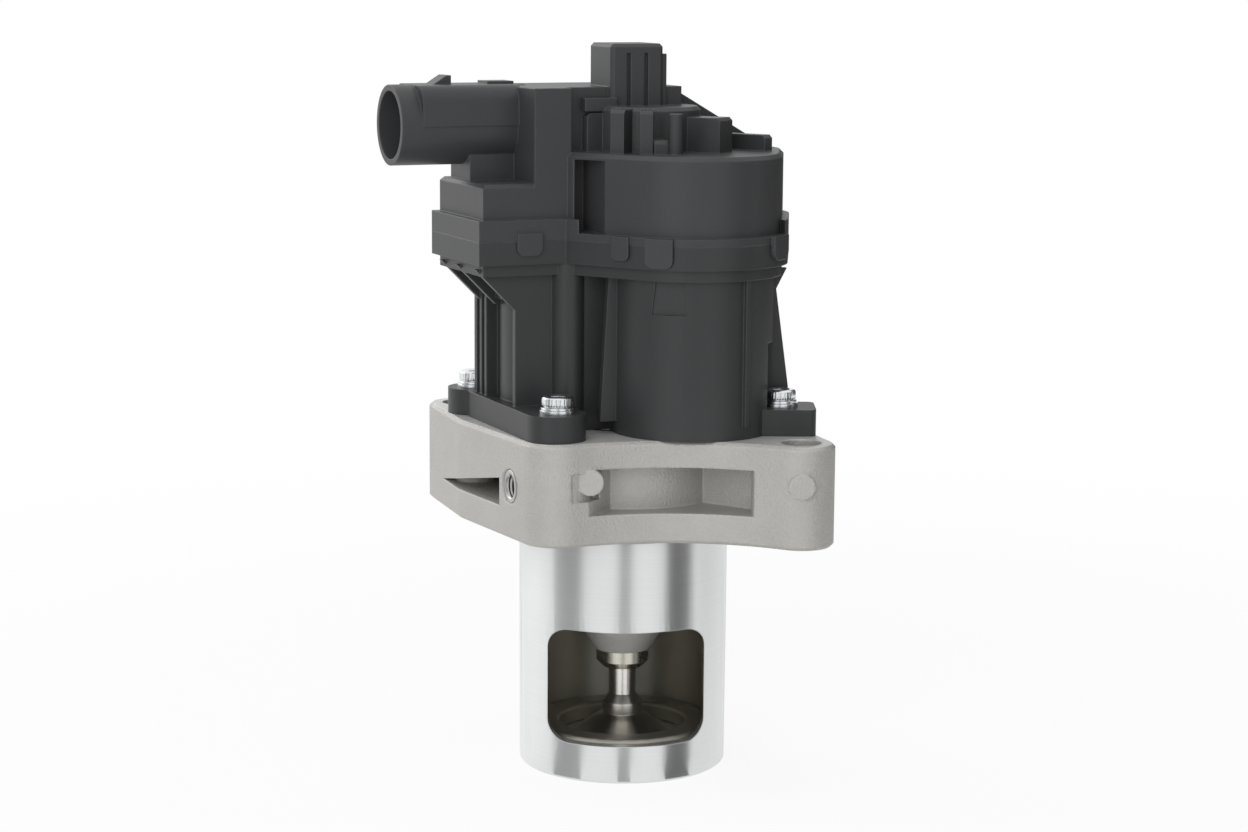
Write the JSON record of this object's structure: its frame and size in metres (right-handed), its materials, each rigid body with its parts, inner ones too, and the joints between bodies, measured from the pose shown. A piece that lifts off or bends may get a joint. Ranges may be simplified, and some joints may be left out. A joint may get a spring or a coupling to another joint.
{
  "type": "exhaust gas recirculation valve",
  "caption": "Electric exhaust gas recirculation valve: a geared motor turns a slotted drum that pushes a disc valve open in a windowed steel sleeve below a two-bolt flange",
  "frame": {"origin": "on the stem's axis in the flange's lower face, at the centre of the two bolt holes", "axes": "+Z along the stem away from the engine, -X is where the plug socket looks"},
  "size_m": [0.0863, 0.0932, 0.1587],
  "materials": {
    "cast_aluminium": "matte die-cast, fine grain",
    "turned_steel": "turned bright",
    "seat_steel": "machined, slightly heat tinted",
    "valve_steel": "ground, brown heat tint",
    "cup_steel": "drawn, brown heat tint",
    "housing_plastic": "moulded glass-filled plastic, satin",
    "cover_plastic": "moulded glass-filled plastic, satin",
    "screw_zinc": "bright zinc plate",
    "seal_rubber": "matte",
    "bearing_bronze": "sintered",
    "spring_steel": "bright drawn",
    "motor_steel": "zinc plated",
    "motor_iron": "laminated",
    "magnet_black": "sintered",
    "pinion_brass": "cut",
    "gear_plastic": "moulded natural",
    "drum_steel": "ground",
    "board_green": "solder mask",
    "terminal_brass": "tin plated"
  },
  "bodies": {
    "root": {"flange_casting": "cast_aluminium", "housing_gasket": "seal_rubber", "valve_sleeve": "turned_steel", "valve_seat": "seat_steel", "stem_bush": "bearing_bronze", "deposit_cup": "cup_steel", "stem_seal": "seal_rubber", "return_spring": "spring_steel", "lower_housing": "housing_plastic", "housing_screws": "screw_zinc", "screw_washers": "screw_zinc", "motor_can": "motor_steel", "motor_magnets": "magnet_black", "motor_plate": "motor_steel", "motor_spring": "spring_steel", "intermediate_axle": "spring_steel", "lower_bearing": "bearing_bronze", "upper_bearing": "bearing_bronze", "guide_cage": "drum_steel", "sensor_board": "board_green", "gear_cover": "cover_plastic", "connector_terminals": "terminal_brass", "cover_seal": "seal_rubber"},
    "output": {"output_gear": "gear_plastic", "cam_drum": "drum_steel", "position_magnet": "magnet_black"},
    "intermediate": {"intermediate_gear": "gear_plastic"},
    "rotor": {"motor_armature": "motor_iron", "motor_shaft": "spring_steel", "motor_pinion": "pinion_brass"},
    "valve": {"poppet_valve": "valve_steel", "spring_plate": "spring_steel", "stem_clip": "spring_steel", "crosshead": "drum_steel", "cross_pin": "spring_steel", "pin_rollers": "drum_steel"}
  },
  "joints": [
    {"name": "output_turn", "type": "hinge", "parent": "root", "child": "output", "pos_m": [0, 0, 0.066], "axis": [0, 0, 1], "range_deg": [0, 100]},
    {"name": "intermediate_turn", "type": "hinge", "parent": "root", "child": "intermediate", "pos_m": [0.01956, -0.00419, 0.063], "axis": [0, 0, 1], "range_deg": [-316.67, 0]},
    {"name": "motor_turn", "type": "hinge", "parent": "root", "child": "rotor", "pos_m": [0.0095, -0.0145, 0.06], "axis": [0, 0, 1], "range_deg": [0, 1203.33]},
    {"name": "valve_lift", "type": "slide", "parent": "root", "child": "valve", "axis": [0, 0, -1], "range_m": [0, 0.007], "stiffness_N_per_m": 1500, "springref_m": -0.01, "deforming": ["return_spring"]}
  ],
  "couplings": [
    {"joint": "output_turn", "follows": "valve_lift", "rad_per_m": 249.33},
    {"joint": "intermediate_turn", "follows": "valve_lift", "rad_per_m": -789.55},
    {"joint": "motor_turn", "follows": "valve_lift", "rad_per_m": 3000.3}
  ]
}
